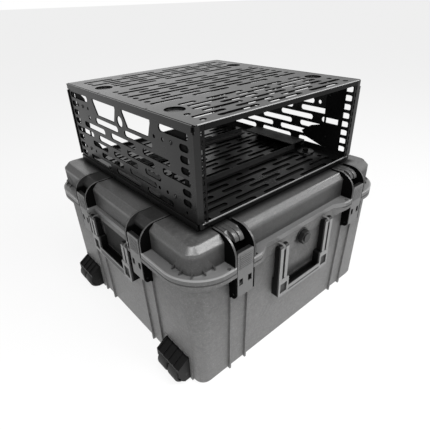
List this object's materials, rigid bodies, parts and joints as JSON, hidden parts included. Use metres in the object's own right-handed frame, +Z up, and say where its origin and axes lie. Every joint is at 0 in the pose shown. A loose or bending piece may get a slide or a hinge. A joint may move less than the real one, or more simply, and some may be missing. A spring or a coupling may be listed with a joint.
{
  "type": "shock mount rack case",
  "caption": "Wheeled transport case with draw latches and folding handles, carrying a perforated sheet-metal equipment rack frame on rubber shock mounts on its lid.",
  "frame": {"origin": "on the floor, under the middle of the case", "axes": "+Z up, the front with the big handle faces -Y, the wheels face -X, the hinges +Y"},
  "size_m": [0.6698, 0.649, 0.57],
  "materials": {
    "case_plastic": "fine moulded texture, dark grey",
    "black_plastic": "smooth satin black",
    "rubber": "matt black",
    "rack_coat": "fine matt black powder coat",
    "steel": "bright zinc"
  },
  "bodies": {
    "base": {"base_shell": "case_plastic", "seal": "rubber", "hinge_pins": "steel", "latch_pins": "steel", "handle_pins": "steel", "wheel_housing_front": "black_plastic", "wheel_housing_rear": "black_plastic", "wheel_axles": "steel", "valve_seat": "black_plastic"},
    "lid": {"lid_shell": "case_plastic", "rack_top_panel": "rack_coat", "rack_bottom_panel": "rack_coat", "rack_left_panel": "rack_coat", "rack_right_panel": "rack_coat", "rail_front_left": "rack_coat", "rail_front_right": "rack_coat", "rail_rear_left": "rack_coat", "rail_rear_right": "rack_coat", "rail_rivets": "steel", "cross_brace_front": "rack_coat", "cross_brace_rear": "rack_coat", "equipment_ledge_left": "rack_coat", "equipment_ledge_right": "rack_coat", "rail_bracket_front_left": "rack_coat", "rail_bracket_front_right": "rack_coat", "rail_bracket_rear_left": "rack_coat", "rail_bracket_rear_right": "rack_coat", "bracket_screws": "rack_coat", "shock_mounts": "rubber", "mount_bolts": "steel"},
    "latch_front_left": {"latch_front_left": "black_plastic"},
    "latch_front_right": {"latch_front_right": "black_plastic"},
    "latch_left_front": {"latch_left_front": "black_plastic"},
    "latch_left_rear": {"latch_left_rear": "black_plastic"},
    "latch_right_front": {"latch_right_front": "black_plastic"},
    "latch_right_rear": {"latch_right_rear": "black_plastic"},
    "handle_front": {"handle_front": "black_plastic"},
    "handle_left": {"handle_left": "black_plastic"},
    "handle_right": {"handle_right": "black_plastic"},
    "valve_knob": {"valve_knob": "black_plastic"},
    "wheel_front_inner": {"wheel_front_inner": "rubber"},
    "wheel_front_outer": {"wheel_front_outer": "rubber"},
    "wheel_rear_inner": {"wheel_rear_inner": "rubber"},
    "wheel_rear_outer": {"wheel_rear_outer": "rubber"}
  },
  "joints": [
    {"name": "lid_hinge", "type": "hinge", "parent": "base", "child": "lid", "pos_m": [0, 0.322, 0.297], "axis": [-1, 0, 0], "range_deg": [0, 100]},
    {"name": "latch_front_left_pivot", "type": "hinge", "parent": "base", "child": "latch_front_left", "pos_m": [-0.195, -0.31, 0.241], "axis": [1, 0, 0], "range_deg": [0, 120]},
    {"name": "latch_front_right_pivot", "type": "hinge", "parent": "base", "child": "latch_front_right", "pos_m": [0.195, -0.31, 0.241], "axis": [1, 0, 0], "range_deg": [0, 120]},
    {"name": "latch_left_front_pivot", "type": "hinge", "parent": "base", "child": "latch_left_front", "pos_m": [-0.319, -0.126, 0.241], "axis": [0, -1, 0], "range_deg": [0, 120]},
    {"name": "latch_left_rear_pivot", "type": "hinge", "parent": "base", "child": "latch_left_rear", "pos_m": [-0.319, 0.126, 0.241], "axis": [0, -1, 0], "range_deg": [0, 120]},
    {"name": "latch_right_front_pivot", "type": "hinge", "parent": "base", "child": "latch_right_front", "pos_m": [0.319, -0.126, 0.241], "axis": [0, 1, 0], "range_deg": [0, 120]},
    {"name": "latch_right_rear_pivot", "type": "hinge", "parent": "base", "child": "latch_right_rear", "pos_m": [0.319, 0.126, 0.241], "axis": [0, 1, 0], "range_deg": [0, 120]},
    {"name": "handle_front_pivot", "type": "hinge", "parent": "base", "child": "handle_front", "pos_m": [0, -0.311, 0.286], "axis": [-1, 0, 0], "range_deg": [0, 90]},
    {"name": "handle_left_pivot", "type": "hinge", "parent": "base", "child": "handle_left", "pos_m": [-0.32, 0, 0.286], "axis": [0, 1, 0], "range_deg": [0, 90]},
    {"name": "handle_right_pivot", "type": "hinge", "parent": "base", "child": "handle_right", "pos_m": [0.32, 0, 0.286], "axis": [0, -1, 0], "range_deg": [0, 90]},
    {"name": "wheel_front_inner_spin", "type": "hinge", "parent": "base", "child": "wheel_front_inner", "pos_m": [-0.3138, -0.19537, 0.029], "axis": [0, 1, 0], "continuous": true},
    {"name": "wheel_front_outer_spin", "type": "hinge", "parent": "base", "child": "wheel_front_outer", "pos_m": [-0.3138, -0.23463, 0.029], "axis": [0, 1, 0], "continuous": true},
    {"name": "wheel_rear_inner_spin", "type": "hinge", "parent": "base", "child": "wheel_rear_inner", "pos_m": [-0.3138, 0.19537, 0.029], "axis": [0, 1, 0], "continuous": true},
    {"name": "wheel_rear_outer_spin", "type": "hinge", "parent": "base", "child": "wheel_rear_outer", "pos_m": [-0.3138, 0.23463, 0.029], "axis": [0, 1, 0], "continuous": true},
    {"name": "valve_turn", "type": "hinge", "parent": "base", "child": "valve_knob", "pos_m": [0, -0.309, 0.275], "axis": [0, -1, 0], "range_deg": [0, 270]}
  ]
}
